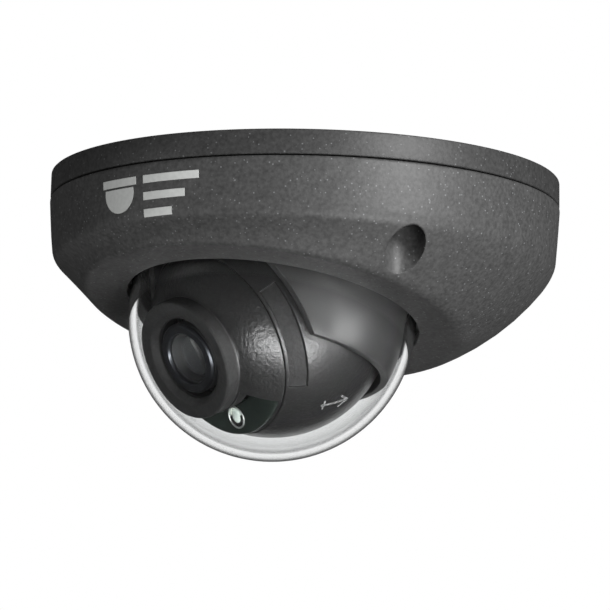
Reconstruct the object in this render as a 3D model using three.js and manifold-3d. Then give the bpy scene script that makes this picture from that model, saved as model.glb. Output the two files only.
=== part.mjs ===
// Ceiling-mounted wedge dome camera: a die-cast base and cover, a clear dome that leans forward,
// and inside it a camera ball that pans, tilts and rolls.
//
// Frame: millimetres, +Z up towards the ceiling, origin at the centre of the mounting face.
// The front of the camera, where the dome leans, is -Y. "t" is a distance along the lens axis,
// from the centre of the ball towards the scene.
import * as THREE from "three";
import { mergeVertices } from "three/addons/utils/BufferGeometryUtils.js";
import Module from "manifold-3d";

const wasm = await Module();
wasm.setup();

const rad = THREE.MathUtils.degToRad;

// ---------------------------------------------------------------- driving dimensions
const SEGMENTS = 32; // facets of the large rings
const ROUND = 16; // facets of bosses, tubes and holes
const SMALL = 10; // facets of screws and pins
const FIT = 0.3; // running gap between separate pieces

const BASE = { radius: 53.2, topRadius: 53.1, floor: 2.5, height: 5.3, rimInner: 49.8 };
const COVER = { topZ: -5.6, topRadius: 53.3, edgeRadius: 52.5, edgeZ: -18.3, wall: 2.2 };
const GROOVE = { inner: 50.9, outer: 52, depth: 1 };
const BULGE = { radius: 0.35, shift: 1.1, drop: 0.7, lean: rad(0.5) }; // swell half way down the flank
const LEAN = rad(11.3); // dome axis against the mounting face
const EDGE_LEAN = rad(0.8); // the wall's lower edge, which is a little deeper at the rear
const DOME = { y: -9.5, z: -31.06, radius: 30, wall: 1.6, flangeRadius: 32.8 };
const RIM = { radius: 39.5, rise: 1.1, lip: 30.7 }; // flat ring round the dome

const COVER_SCREWS = { radius: 47.6, angles: [68, 180, 292].map(rad), bore: 4.2, floorZ: -11.5 };
const MOUNT_HOLES = { radius: 46, angles: [22, 113, 247, 338].map(rad), bore: 2.3 };
const CABLE_HOLE = { y: 28, radius: 9 };
const SEAT_POSTS = { radius: 35, angles: [0, 110, 250].map(rad), face: 15.1 };
const RETAINER_SCREWS = { radius: 35.6, angles: [45, 135, 225, 315].map(rad) };

const BOARD = { top: -7, thickness: 1.6, radius: 42, ballHole: 15 };
const BOARD_SCREWS = [[25, 30], [-25, 30], [28, -20], [-28, -20]];

const PAN_REST = rad(-12.5); // where the ball is left looking
const TILT_REST = rad(39); // lens axis below the plane of the dome's rim
const ROLL_REST = rad(6);

const LINER = { radius: 27.6, wall: 1.4, hem: -10.3, windowTop: 8.8, windowT: 11, tilt: rad(41) };
const BALL = { radius: 25, wall: 2, seam: 15.3, rear: -12 };
const POCKET = { front: 15.2, back: 11.7, depth: 1.2, from: -41, to: 23 };
const COLLAR = { radius: 12.6, front: 25, throat: 8.6 };
const FILTER = { pitch: 6.4 }; // how far the filter carriage slides
const LED = { offset: 15.5, face: 17.2, rim: 19.2, from: -135, to: -45 };

// ---------------------------------------------------------------- solids
// A closed geometry as a solid, with its faces turned outwards.
function solid(geometry) {
  const loose = geometry.index ? geometry.toNonIndexed() : geometry.clone();
  const bare = new THREE.BufferGeometry();
  bare.setAttribute("position", loose.getAttribute("position"));
  const merged = mergeVertices(bare, 1e-3);
  const corners = [];
  for (let i = 0; i < merged.index.count; i += 3) {
    const [a, b, c] = [0, 1, 2].map((k) => merged.index.getX(i + k));
    if (a !== b && b !== c && c !== a) corners.push([a, b, c]);
  }
  const made = (faces) =>
    new wasm.Manifold(
      new wasm.Mesh({
        numProp: 3,
        vertProperties: new Float32Array(merged.attributes.position.array),
        triVerts: new Uint32Array(faces.flat()),
      }),
    );
  const first = made(corners);
  return first.volume() >= 0 ? first : made(corners.map(([a, b, c]) => [a, c, b]));
}

function geometryOf(body) {
  const mesh = body.getMesh();
  const geometry = new THREE.BufferGeometry();
  geometry.setAttribute("position", new THREE.BufferAttribute(mesh.vertProperties, 3));
  geometry.setIndex(new THREE.BufferAttribute(mesh.triVerts, 1));
  return geometry;
}

const join = (...bodies) => bodies.reduce((sum, body) => sum.add(body));
const cut = (body, ...tools) => tools.reduce((left, tool) => left.subtract(tool), body);

// ---------------------------------------------------------------- shapes
// A body of revolution about Z from [radius, z] points; its faces always point outwards.
function turned(points, segments = SEGMENTS) {
  const outline = points.map(([r, z]) => new THREE.Vector2(r, z));
  if (THREE.ShapeUtils.area(outline) < 0) outline.reverse();
  return new THREE.LatheGeometry(outline, segments).rotateX(Math.PI / 2);
}

// A closed section turned about Z, such as a ring or a shell.
const turnedRing = (points, segments) => turned([...points, points[0]], segments);

// The same about the lens axis, from [radius, t] points; the lens looks along -Y.
const lensTurned = (points, segments = 24) =>
  turned(points, segments).rotateX(Math.PI / 2);
const lensRing = (points, segments) => lensTurned([...points, points[0]], segments);

// Points on an arc round the origin, from one height to another.
function arc(radius, from, to, steps) {
  const [a, b] = [from, to].map((h) => Math.asin(h / radius));
  return Array.from({ length: steps + 1 }, (_, i) => {
    const angle = a + ((b - a) * i) / steps;
    return [radius * Math.cos(angle), radius * Math.sin(angle)];
  });
}

// An upright cylinder between two heights.
function post(radius, low, high, x = 0, y = 0, segments = ROUND) {
  return new THREE.CylinderGeometry(radius, radius, high - low, segments)
    .rotateX(Math.PI / 2)
    .translate(x, y, (low + high) / 2);
}

function block(width, depth, height, x, y, z) {
  return new THREE.BoxGeometry(width, depth, height).translate(x, y, z);
}

// Where an angle counted from the front (-Y) lands on a circle.
const at = (radius, angle) => [radius * Math.sin(angle), -radius * Math.cos(angle)];

// One ring of the cover: a circle that may be moved and leaned towards the front.
function ring({ radius, y = 0, z, lean = 0 }) {
  return Array.from({ length: SEGMENTS }, (_, i) => {
    const [px, py] = at(radius, (i * 2 * Math.PI) / SEGMENTS);
    return new THREE.Vector3(px, y + py * Math.cos(lean), z - py * Math.sin(lean));
  });
}

// A skin through rings; a closed skin runs back to its first ring, an open one is capped.
function loft(rings, closed) {
  const points = rings.flat();
  const faces = [];
  const last = closed ? rings.length : rings.length - 1;
  for (let i = 0; i < last; i++)
    for (let k = 0; k < SEGMENTS; k++) {
      const [a, b] = [i, (i + 1) % rings.length].map((n) => n * SEGMENTS);
      const next = (k + 1) % SEGMENTS;
      faces.push(a + k, b + k, b + next, a + k, b + next, a + next);
    }
  if (!closed)
    [0, rings.length - 1].forEach((n, end) => {
      for (let k = 1; k < SEGMENTS - 1; k++) {
        const [p, q, s] = [n * SEGMENTS, n * SEGMENTS + k, n * SEGMENTS + k + 1];
        faces.push(...(end ? [p, s, q] : [p, q, s]));
      }
    });
  const geometry = new THREE.BufferGeometry().setFromPoints(points);
  geometry.setIndex(faces);
  return geometry;
}

// The cover's flank, from the wall's edge (s = 0) to the flat ring round the dome (s = 1).
function flank(s, inset = 0) {
  const swell = 4 * s * (1 - s);
  const rimY = DOME.y + RIM.rise * Math.sin(LEAN);
  const rimZ = DOME.z + RIM.rise * Math.cos(LEAN);
  return {
    radius: THREE.MathUtils.lerp(COVER.edgeRadius, RIM.radius, s) + BULGE.radius * swell - inset,
    y: rimY * s + BULGE.shift * swell,
    z: THREE.MathUtils.lerp(COVER.edgeZ, rimZ, s) - BULGE.drop * swell + inset,
    lean: THREE.MathUtils.lerp(EDGE_LEAN, LEAN, s) + BULGE.lean * swell,
  };
}

// A ring in the dome's own frame, at a height above its centre.
const domeRing = (radius, height) => ({
  radius,
  y: DOME.y + height * Math.sin(LEAN),
  z: DOME.z + height * Math.cos(LEAN),
  lean: LEAN,
});

const headMatrix = new THREE.Matrix4()
  .makeTranslation(0, DOME.y, DOME.z)
  .multiply(new THREE.Matrix4().makeRotationX(-LEAN));
const inHead = (geometry) => geometry.applyMatrix4(headMatrix);

// ---------------------------------------------------------------- materials
const finish = (color, roughness, metalness = 0) =>
  new THREE.MeshStandardMaterial({ color, roughness, metalness });
const paint = finish(0x46484a, 0.55);
const paintedBase = finish(0x3c3e40, 0.55);
const clear = finish(0xdfe6e8, 0.05);
const silicone = finish(0x17181a, 0.7);
const steel = finish(0xa6a8aa, 0.3, 1);
const darkSteel = finish(0x2b2c2e, 0.4, 0.8);
const textured = finish(0x2c2d2e, 0.6);
const satin = finish(0x232425, 0.35);
const blackPlastic = finish(0x161718, 0.5);
const greenBoard = finish(0x1c4a2e, 0.5);
const chip = finish(0x1a1b1c, 0.6);
const whitePlastic = finish(0xdad8cf, 0.5);
const glass = finish(0x1a1f2a, 0.02);
const filterGlass = finish(0x7c3550, 0.05);

function named(name, geometry, material, parent) {
  const mesh = new THREE.Mesh(geometry, material);
  mesh.name = name;
  parent.add(mesh);
  return mesh;
}

// ---------------------------------------------------------------- base and cover
function basePlate() {
  const { radius, topRadius, floor, height, rimInner } = BASE;
  const tray = turnedRing([
    [0.01, 0],
    [topRadius - 0.4, 0],
    [topRadius, -0.4],
    [radius, -height],
    [GROOVE.outer, -height],
    [GROOVE.outer, -height + GROOVE.depth],
    [GROOVE.inner, -height + GROOVE.depth],
    [GROOVE.inner, -height],
    [rimInner, -height],
    [rimInner, -floor],
    [0.01, -floor],
  ]);
  const disc = solid(post(50.3, -40, -1, 0, 0, SEGMENTS));
  const screwPosts = COVER_SCREWS.angles.map((a) =>
    solid(post(3.6, -8.7, -1, ...at(COVER_SCREWS.radius, a))),
  );
  const seatPosts = SEAT_POSTS.angles.map((a) =>
    solid(inHead(post(3.2, SEAT_POSTS.face, 45, ...at(SEAT_POSTS.radius, a)))),
  );
  const standoffs = BOARD_SCREWS.map(([x, y]) =>
    solid(post(2.5, BOARD.top + FIT, -1, x, y)),
  );
  const added = join(...screwPosts, ...seatPosts, ...standoffs).intersect(disc);
  // The tray's section leaves a pinhole on the axis, which a plug closes.
  const plug = solid(post(1, -floor, 0));
  const drilled = [
    ...COVER_SCREWS.angles.map((a) => post(2.3, -9, -3, ...at(COVER_SCREWS.radius, a))),
    ...SEAT_POSTS.angles.map((a) =>
      inHead(post(1.3, SEAT_POSTS.face - 1, SEAT_POSTS.face + 6, ...at(SEAT_POSTS.radius, a))),
    ),
    ...BOARD_SCREWS.map(([x, y]) => post(1.5, BOARD.top, -3, x, y)),
    ...MOUNT_HOLES.angles.map((a) => post(MOUNT_HOLES.bore, -4, 1, ...at(MOUNT_HOLES.radius, a))),
    post(CABLE_HOLE.radius, -4, 1, 0, CABLE_HOLE.y),
  ];
  return cut(join(solid(tray), plug, added), ...drilled.map(solid));
}

function coverShell() {
  const { topZ, topRadius, edgeRadius, edgeZ, wall } = COVER;
  const steps = [0.2, 0.4, 0.6, 0.8];
  const outer = [
    { radius: topRadius - 0.2, z: topZ },
    { radius: topRadius, z: topZ - 0.3 },
    { radius: edgeRadius, z: edgeZ + 0.9, lean: EDGE_LEAN },
    flank(0.05),
    ...steps.map((s) => flank(s)),
    flank(0.97),
    domeRing(RIM.radius - 1, RIM.rise),
  ];
  const mouth = [domeRing(RIM.lip + 0.4, RIM.rise), domeRing(RIM.lip, RIM.rise + 0.4)];
  const inset = wall * 0.7; // the flank leans about 45 degrees, so both offsets are the same
  const inner = [
    domeRing(RIM.lip, RIM.rise + wall),
    domeRing(RIM.radius - 2.2, RIM.rise + wall),
    ...[0.9, 0.6, 0.3].map((s) => flank(s, inset)),
    { radius: edgeRadius - wall, z: edgeZ + 0.8, lean: EDGE_LEAN },
    { radius: topRadius - wall, z: topZ },
  ];
  const shell = solid(loft([...outer, ...mouth, ...inner].map(ring), true));
  const filled = solid(loft(outer.map(ring), false));
  const bosses = join(
    ...COVER_SCREWS.angles.map((a) => solid(post(5.7, -45, -9, ...at(COVER_SCREWS.radius, a)))),
  ).intersect(filled);
  const studs = RETAINER_SCREWS.angles.map((a) =>
    solid(inHead(post(2.2, 2, 6.4, ...at(RETAINER_SCREWS.radius, a)))),
  );
  const recesses = COVER_SCREWS.angles.flatMap((a) => {
    const place = at(COVER_SCREWS.radius, a);
    return [post(COVER_SCREWS.bore, -60, COVER_SCREWS.floorZ, ...place), post(2.3, -13, -8, ...place)];
  });
  const tapped = RETAINER_SCREWS.angles.map((a) =>
    inHead(post(1.2, 3.2, 7, ...at(RETAINER_SCREWS.radius, a))),
  );
  return cut(join(shell, bosses, ...studs), ...[...recesses, ...tapped].map(solid));
}

// A machine screw: a head with a socket, and a plain shank; it points up from z = 0.
function screw(headRadius, headHeight, shankRadius, shankLength) {
  const body = turned([
    [0, -headHeight],
    [headRadius - 0.3, -headHeight],
    [headRadius, -headHeight + 0.3],
    [headRadius, 0],
    [shankRadius, 0],
    [shankRadius, shankLength - 0.4],
    [shankRadius - 0.4, shankLength],
    [0, shankLength],
  ], SMALL);
  const socket = new THREE.CylinderGeometry(headRadius * 0.42, headRadius * 0.42, headHeight, 6)
    .rotateX(Math.PI / 2)
    .translate(0, 0, -headHeight);
  return geometryOf(solid(body).subtract(solid(socket)));
}

function baseAndCover(root, head) {
  named("base_plate", geometryOf(basePlate()), paintedBase, root);
  named("cover_housing", geometryOf(coverShell()), paint, root);
  named(
    "cover_gasket",
    turnedRing([[51.1, -4.5], [51.8, -4.5], [51.8, -5.45], [51.1, -5.45]]),
    silicone,
    root,
  );
  COVER_SCREWS.angles.forEach((a, i) => {
    const [x, y] = at(COVER_SCREWS.radius, a);
    const seal = turnedRing([[2.2, -12], [3.4, -12], [3.4, -11.7], [2.2, -11.7]], SMALL);
    named(`screw_seal_${i + 1}`, seal, silicone, root).position.set(x, y, 0);
    named(`cover_screw_${i + 1}`, screw(3.5, 2.6, 1.9, 8.2), darkSteel, root).position.set(x, y, -12.2);
  });
  const retainer = cut(
    solid(turnedRing([[29.5, 6.7], [38, 6.7], [38, 8.2], [29.5, 8.2]])),
    ...RETAINER_SCREWS.angles.map((a) => solid(post(1.4, 6, 9, ...at(RETAINER_SCREWS.radius, a)))),
  );
  named("dome_retainer", geometryOf(retainer), steel, head);
  RETAINER_SCREWS.angles.forEach((a, i) => {
    const [x, y] = at(RETAINER_SCREWS.radius, a);
    const made = named(`retainer_screw_${i + 1}`, screw(1.9, 1.2, 0.9, 4.6), steel, head);
    made.position.set(x, y, 8.5);
    made.rotation.x = Math.PI;
  });
}

function clearDome(head) {
  const { radius, wall, flangeRadius } = DOME;
  const inside = radius - wall;
  const bubble = turned([
    [0, -radius],
    ...arc(radius, -radius, 0, 8).slice(1),
    [radius, 4.6],
    [flangeRadius, 4.6],
    [flangeRadius, 6.4],
    [inside, 6.4],
    ...arc(inside, 0, -inside, 7).slice(0, -1),
    [0, -inside],
  ]);
  named("dome_bubble", bubble, clear, head);
  named(
    "dome_gasket",
    turnedRing([[31, 3.6], [33.2, 3.6], [33.2, 4.3], [31, 4.3]]),
    silicone,
    head,
  );
}

// ---------------------------------------------------------------- gimbal seat
function gimbalSeat(head) {
  const ears = SEAT_POSTS.angles.map((a) => solid(post(1.6, 9, 16, ...at(SEAT_POSTS.radius, a))));
  const seat = turnedRing([
    [28.5, 9.3],
    [32.7, 9.3],
    [32.7, 10.6],
    [38, 10.6],
    [38, 13.5],
    [32.2, 13.5],
    [32.2, 10.1],
    [28.5, 10.1],
  ]);
  named("pan_seat_ring", geometryOf(cut(solid(seat), ...ears)), blackPlastic, head);
  const keeper = turnedRing([[28.6, 13.8], [38, 13.8], [38, 14.8], [28.6, 14.8]]);
  named("pan_keeper_ring", geometryOf(cut(solid(keeper), ...ears)), steel, head);
  named(
    "pan_friction_ring",
    turnedRing([[28.8, 12.4], [31.6, 12.4], [31.6, 13.4], [28.8, 13.4]]),
    whitePlastic,
    head,
  );
  SEAT_POSTS.angles.forEach((a, i) => {
    const [x, y] = at(SEAT_POSTS.radius, a);
    named(`gimbal_screw_${i + 1}`, screw(1.9, 1.4, 1, 10), steel, head).position.set(x, y, 10.3);
  });
}

// ---------------------------------------------------------------- electronics on the base
function electronics(root) {
  const under = BOARD.top - BOARD.thickness; // the lower face, where the parts sit
  const level = DOME.z + 24 * Math.cos(LEAN); // height of the board along the dome's axis
  const postHoles = SEAT_POSTS.angles.map((a) => {
    const [x, y] = at(SEAT_POSTS.radius, a);
    const rise = (BOARD.top - level) / Math.cos(LEAN) + 24 + y * Math.tan(LEAN);
    return post(4.4, -12, -4, x, DOME.y + y * Math.cos(LEAN) + rise * Math.sin(LEAN));
  });
  const board = cut(
    solid(post(BOARD.radius, under, BOARD.top, 0, 0, SEGMENTS)),
    solid(post(BOARD.ballHole, -12, -4, 0, DOME.y, 24)),
    solid(block(24, 40, 8, 0, 17 + 20, -8)),
    ...postHoles.map(solid),
    ...BOARD_SCREWS.map(([x, y]) => solid(post(1.5, -12, -4, x, y))),
  );
  named("main_board", geometryOf(board), greenBoard, root);
  BOARD_SCREWS.forEach(([x, y], i) => {
    const made = named(`board_screw_${i + 1}`, screw(2.3, 1.3, 1.2, 5), steel, root);
    made.position.set(x, y, under - FIT);
  });
  const face = under - 0.1;
  named("processor", block(12, 12, 1.4, 20, 14.5, face - 0.7), chip, root);
  named("power_inductor", block(7, 7, 3.2, -31, -8, face - 1.6), chip, root);
  [17, -17].forEach((x, i) =>
    named(`capacitor_${i + 1}`, post(3, face - 5.5, face, x, 33, SMALL), steel, root),
  );
  named("lead_connector", leadConnector(face), whitePlastic, root);
  named("ribbon_socket", block(4, 12, 1.6, 33, -9, face - 0.8), whitePlastic, root);
  const slot = cut(
    solid(block(15, 14.5, 2.2, -20.5, 17.5, face - 1.1)),
    solid(block(15, 11.6, 1.4, -22.5, 17.5, face - 1.1)),
  );
  named("card_socket", geometryOf(slot), steel, root);
  named("memory_card", block(15, 11, 0.8, -23, 17.5, face - 1.1), chip, root);
  const shell = cut(
    solid(block(5, 5, 1.8, 18, 25.5, face - 0.9)),
    solid(post(1.5, face - 3, face - 0.6, 18, 25.5, SMALL)),
  );
  named("reset_switch", geometryOf(shell), steel, root);
  named("reset_plunger", post(1.2, face - 2.6, face - 1.2, 18, 25.5, SMALL), blackPlastic, root);
  const grommet = turnedRing([
    [4.2, 0],
    [8.7, 0],
    [8.7, -2.8],
    [10.8, -2.8],
    [10.8, -4.4],
    [4.2, -4.4],
  ], 20);
  named("cable_grommet", grommet, silicone, root).position.set(0, CABLE_HOLE.y, 0);
}

// A shrouded pin header whose mouth faces down.
function leadConnector(face) {
  const housing = solid(block(12, 5.4, 3.6, 0, 13.2, face - 1.8));
  return geometryOf(housing.subtract(solid(block(10.4, 3.8, 3, 0, 13.2, face - 2.5))));
}

// ---------------------------------------------------------------- pan: liner and tilt pins
function panParts(pan) {
  const { radius, wall, hem, windowTop, windowT, tilt } = LINER;
  const inside = radius - wall;
  const shell = turnedRing([
    ...arc(radius, hem, 0, 4),
    [radius, 10.4],
    [31.8, 10.4],
    [31.8, 12],
    [inside, 12],
    ...arc(inside, 0, hem, 4),
  ]);
  // The window is open wherever the lens can look: beyond a slanting plane.
  const size = 90;
  const beyond = block(size, size, size, 0, -windowT - size / 2, 0).rotateX(tilt);
  const window = solid(beyond).intersect(solid(block(size, size, size, 0, 0, windowTop - size / 2)));
  named("inner_liner", geometryOf(solid(shell).subtract(window)), satin, pan);
  [1, -1].forEach((side) => {
    const place = side > 0 ? "right" : "left";
    const pin = new THREE.CylinderGeometry(1.8, 1.8, 2.4, SMALL).rotateZ(Math.PI / 2);
    named(`tilt_pin_${place}`, pin.translate(side * 24.6, 0, 0), steel, pan);
    const washer = turnedRing([[2.1, 25.15], [3.4, 25.15], [3.4, 25.7], [2.1, 25.7]], SMALL);
    named(`tilt_washer_${place}`, washer.rotateY((side * Math.PI) / 2), whitePlastic, pan);
  });
}

// ---------------------------------------------------------------- tilt: the ball
// Turns a shape built along +Z so that it runs along the lens axis, with +Y of its section up.
const forward = (geometry) => geometry.rotateX(Math.PI / 2);

// A wedge of a disc about the lens axis, between two angles counted from +X towards +Z.
function sector(radius, from, to, low, high) {
  const shape = new THREE.Shape();
  shape.moveTo(0, 0);
  shape.absarc(0, 0, radius, rad(from), rad(to), false);
  shape.lineTo(0, 0);
  const geometry = new THREE.ExtrudeGeometry(shape, {
    depth: high - low,
    bevelEnabled: false,
    curveSegments: 6,
  });
  return forward(geometry.translate(0, 0, low));
}

function tiltParts(tilt) {
  const { radius, wall, seam, rear } = BALL;
  const inside = radius - wall;
  const shell = lensRing([
    ...arc(radius, seam, rear, 8),
    ...arc(inside, rear, 13.2, 6),
    [17.8, 13.6],
    [17.8, seam],
  ], SEGMENTS);
  // A shallow pocket on each side of the ball, where a finger turns it.
  const ledge = (level) => Math.sqrt(radius ** 2 - level ** 2) - POCKET.depth;
  const floor = lensTurned([
    [0, POCKET.back],
    [ledge(POCKET.back), POCKET.back],
    [ledge(POCKET.front), POCKET.front],
    [0, POCKET.front],
  ], SEGMENTS);
  const pocket = (from, to) =>
    solid(sector(30, from, to, POCKET.back, POCKET.front)).subtract(solid(floor));
  const pinHole = new THREE.CylinderGeometry(2.1, 2.1, 60, SMALL).rotateZ(Math.PI / 2);
  const ball = cut(
    solid(shell),
    pocket(POCKET.from, POCKET.to),
    pocket(180 - POCKET.to, 180 - POCKET.from),
    solid(pinHole),
  );
  named("ball_shell", geometryOf(ball), textured, tilt);
  const cap = cut(
    solid(lensTurned([[0, rear - 0.3], [21.3, rear - 0.3], [20.2, rear - 2], [0, rear - 2]], SEGMENTS)),
    solid(block(12, 6, 3, 0, -rear + 1, 0)),
  );
  named("ball_rear_cover", geometryOf(cap), blackPlastic, tilt);
}

// ---------------------------------------------------------------- roll: lens, light and sensor
function frontShell() {
  const { radius, wall, seam } = BALL;
  const collarRoot = Math.sqrt(radius ** 2 - COLLAR.radius ** 2);
  const shell = solid(
    lensRing([
      [COLLAR.throat + 0.9, COLLAR.front],
      [COLLAR.radius - 0.5, COLLAR.front],
      [COLLAR.radius, COLLAR.front - 0.5],
      ...arc(radius, collarRoot, seam + FIT, 4),
      [17.4, seam + FIT],
      [17.4, 12.6],
      [15.4, 12.6],
      [15.4, 17.2],
      [COLLAR.throat + 1, 19.8],
      [COLLAR.throat, 20.6],
      [COLLAR.throat, COLLAR.front - 1.4],
    ], SEGMENTS),
  );
  const { face, rim, offset, from, to } = LED;
  const boss = solid(sector(rim, from, to, seam + FIT, face)).subtract(
    solid(forward(post(COLLAR.radius - 1, 10, 30, 0, 0, 24))),
  );
  const facet = solid(sector(30, from, to, face, 30)).subtract(
    solid(forward(post(COLLAR.radius, 0, 60, 0, 0, SEGMENTS))),
  );
  const ledHole = forward(post(2.3, 10, 40, 0, -offset));
  const ledRoom = block(7.8, 3.4, 5, 0, 3.1 - face, -15.1);
  return cut(join(shell, boss), facet, solid(ledHole), solid(ledRoom));
}

function rollParts(roll) {
  named("front_shell", geometryOf(frontShell()), textured, roll);
  named(
    "roll_retainer",
    lensRing([[15.6, 12.3], [18.9, 12.3], [18.9, 11.3], [15.6, 11.3]]),
    steel,
    roll,
  );
  const barrel = [
    [5.2, 23.5],
    [7.5, 23.5],
    [7.5, 20.4],
    [5.9, 20.4],
    [5.9, 6],
    [3.6, 6],
    [3.6, 8.5],
    [4.6, 12],
    [4.6, 19],
    [5.2, 20.2],
  ];
  named("lens_barrel", lensRing(barrel, 20), blackPlastic, roll);
  named(
    "lens_front_ring",
    lensRing([[5.6, 24.4], [7.1, 24.4], [7.5, 24], [7.5, 23.8], [5.3, 23.8]]),
    darkSteel,
    roll,
  );
  const frontGlass = [[0, 23.4], [2.6, 23], [4.2, 22.1], [4.9, 21.1], [4.9, 20.6], [0, 20.6]];
  named("lens_front_glass", lensTurned(frontGlass, 20), glass, roll);
  const rearGlass = [[0, 8.2], [3.3, 8], [3.3, 6.6], [2, 6.2], [0, 6.1]];
  named("lens_rear_glass", lensTurned(rearGlass, 16), glass, roll);
  named(
    "lens_lock_ring",
    lensRing([[6.2, 16.6], [8.6, 16.6], [8.6, 14.4], [6.2, 14.4]], 20),
    blackPlastic,
    roll,
  );
  named("lens_holder", geometryOf(lensHolder()), blackPlastic, roll);
  // Two windows side by side: the coloured filter is in front of the sensor, the open one beside it.
  const windows = [0, -FILTER.pitch].map((x) => solid(block(5.6, 3, 5.6, x, -4, 0)));
  const carriage = cut(solid(block(14.4, 0.9, 7.6, -FILTER.pitch / 2, -4, 0)), ...windows);
  named("ir_cut_carriage", geometryOf(carriage), blackPlastic, roll);
  named("ir_cut_filter", block(5, 0.5, 5, 0, -4, 0), filterGlass, roll);
  named("filter_actuator", block(5, 5, 6, 11, -4.6, 9.6), darkSteel, roll);
  named("sensor_board", block(31, 1.2, 25, 0, 0.1, 0), greenBoard, roll);
  named("image_sensor", block(8.4, 1, 7.4, 0, -1.1, 0), chip, roll);
  named("ir_led_board", block(6.8, 1, 3.9, 0, 3.9 - LED.face, -15.1), greenBoard, roll);
  const lens = [[0, 0.4], [1.1, 0.1], [1.8, -0.7], [2, -1.9], [2, -3.1], [0, -3.1]];
  const lamp = lensTurned(lens.map(([across, height]) => [across, LED.face + height]), ROUND);
  named("ir_led", lamp, clear, roll).position.z = -LED.offset;
}

// Square foot with a tube for the lens and a slot across it for the filter carriage.
function lensHolder() {
  const foot = solid(block(17, 4.6, 17, 0, -3.3, 0));
  const tube = solid(lensTurned([[0, 3], [8, 3], [8, 14], [0, 14]], ROUND));
  const throat = solid(lensTurned([[0, 0], [6.2, 0], [6.2, 15], [0, 15]], ROUND));
  const slot = solid(block(40, 1.5, 8.4, 0, -4, 0));
  return cut(join(foot, tube), throat, slot);
}

// ---------------------------------------------------------------- assembly
const camera = new THREE.Group();
const head = new THREE.Group(); // the dome's frame: origin at its centre, +Z up its leaning axis
head.position.set(0, DOME.y, DOME.z);
head.rotation.x = -LEAN;
const pan = new THREE.Group();
pan.rotation.z = PAN_REST;
const tilt = new THREE.Group();
tilt.rotation.x = TILT_REST;
const roll = new THREE.Group();
roll.rotation.y = ROLL_REST;
camera.add(head);
head.add(pan);
pan.add(tilt);
tilt.add(roll);

baseAndCover(camera, head);
clearDome(head);
gimbalSeat(head);
electronics(camera);
panParts(pan);
tiltParts(tilt);
rollParts(roll);

export default camera;
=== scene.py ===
"""Wedge dome camera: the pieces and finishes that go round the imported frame."""

from itertools import pairwise
from math import asin, cos, degrees, pi, radians, sin, sqrt, tan

import bmesh
import bpy
from bpy.props import FloatProperty, FloatVectorProperty, IntProperty, PointerProperty
from mathutils import Matrix, Vector


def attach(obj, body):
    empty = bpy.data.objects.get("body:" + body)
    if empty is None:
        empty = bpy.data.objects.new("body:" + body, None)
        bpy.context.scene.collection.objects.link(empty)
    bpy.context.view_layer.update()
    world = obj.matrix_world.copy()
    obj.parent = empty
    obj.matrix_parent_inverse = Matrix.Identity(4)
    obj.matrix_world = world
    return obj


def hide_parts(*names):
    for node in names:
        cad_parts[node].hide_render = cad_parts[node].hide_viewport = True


bl_info = {
    "name": "Wedge dome camera",
    "version": (1, 0, 0),
    "blender": (4, 5, 0),
    "location": "View3D > Sidebar > Dome camera",
    "description": "Builds the pieces, finishes and studio of a ceiling dome camera",
    "category": "Object",
}

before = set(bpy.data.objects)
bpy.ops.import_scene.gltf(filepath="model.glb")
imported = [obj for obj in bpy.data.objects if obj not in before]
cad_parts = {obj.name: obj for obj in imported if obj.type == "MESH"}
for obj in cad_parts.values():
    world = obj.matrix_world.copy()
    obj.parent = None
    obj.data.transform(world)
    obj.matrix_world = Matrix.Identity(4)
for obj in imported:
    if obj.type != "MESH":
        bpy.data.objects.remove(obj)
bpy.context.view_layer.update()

MM = 0.001
LEAN = radians(11.3)  # the dome's axis leans this far towards the front
EDGE_LEAN = radians(0.8)  # the wall's lower edge is a little deeper at the rear
PAN, TILT, ROLL = radians(-12.5), radians(39), radians(6)  # how the ball is left at rest

# Sizes in millimetres: the housing's are from the mounting face, the rest from the dome's centre.
WALL_RADIUS, WALL_FOOT = 52.5, -18.3  # the wall's lower edge, where the flank starts
RIM_RADIUS, RIM_RISE, LIP_RADIUS = 39.5, 1.1, 30.7  # flat ring round the dome, and its mouth
DOME_Y, DOME_Z, DOME_RADIUS, DOME_INNER = -9.5, -31.06, 30, 28.4
LINER_RADIUS, LINER_INNER, LINER_HEM = 27.6, 26.2, -10.3
BALL_RADIUS, BALL_INNER, BALL_REAR = 25, 23, -12
COLLAR_RADIUS = 12.6
LAMP_OFFSET, LAMP_FACE = 15.5, 17.2
WINDOW_FROM, WINDOW_TURN = radians(-135), radians(90)  # the lamp window's share of the circle

# The dome's frame has its origin at the dome's centre and +Z up along its leaning axis.
HEAD = Matrix.Translation((0, DOME_Y * MM, DOME_Z * MM)) @ Matrix.Rotation(-LEAN, 4, "X")
LINER = HEAD @ Matrix.Rotation(PAN, 4, "Z")
BALL = LINER @ Matrix.Rotation(TILT, 4, "X")
LENS = BALL @ Matrix.Rotation(ROLL, 4, "Y")
FORWARD = Matrix.Rotation(radians(90), 4, "X")  # turns a shape built up +Z to look along -Y
# Bodies with lights of their own, and the two groups that the lights name.
INSIDE_THE_DOME = ("pan_carrier", "ball", "lens_module")
LIT_BY = {"inside_the_dome": "INCLUDE", "outside_the_dome": "EXCLUDE"}

COVER_SCREW_RADIUS, MOUNT_HOLE_RADIUS, SEAT_POST_RADIUS = 47.6, 46, 35
COVER_SCREWS = [radians(a) for a in (68, 180, 292)]  # round from the front
MOUNT_HOLES = [radians(a) for a in (22, 113, 247, 338)]
SEAT_POSTS = [radians(a) for a in (0, 110, 250)]
BOARD_SCREWS = ((25, 30), (-25, 30), (28, -20), (-28, -20))
CABLE_Y = 28


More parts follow.
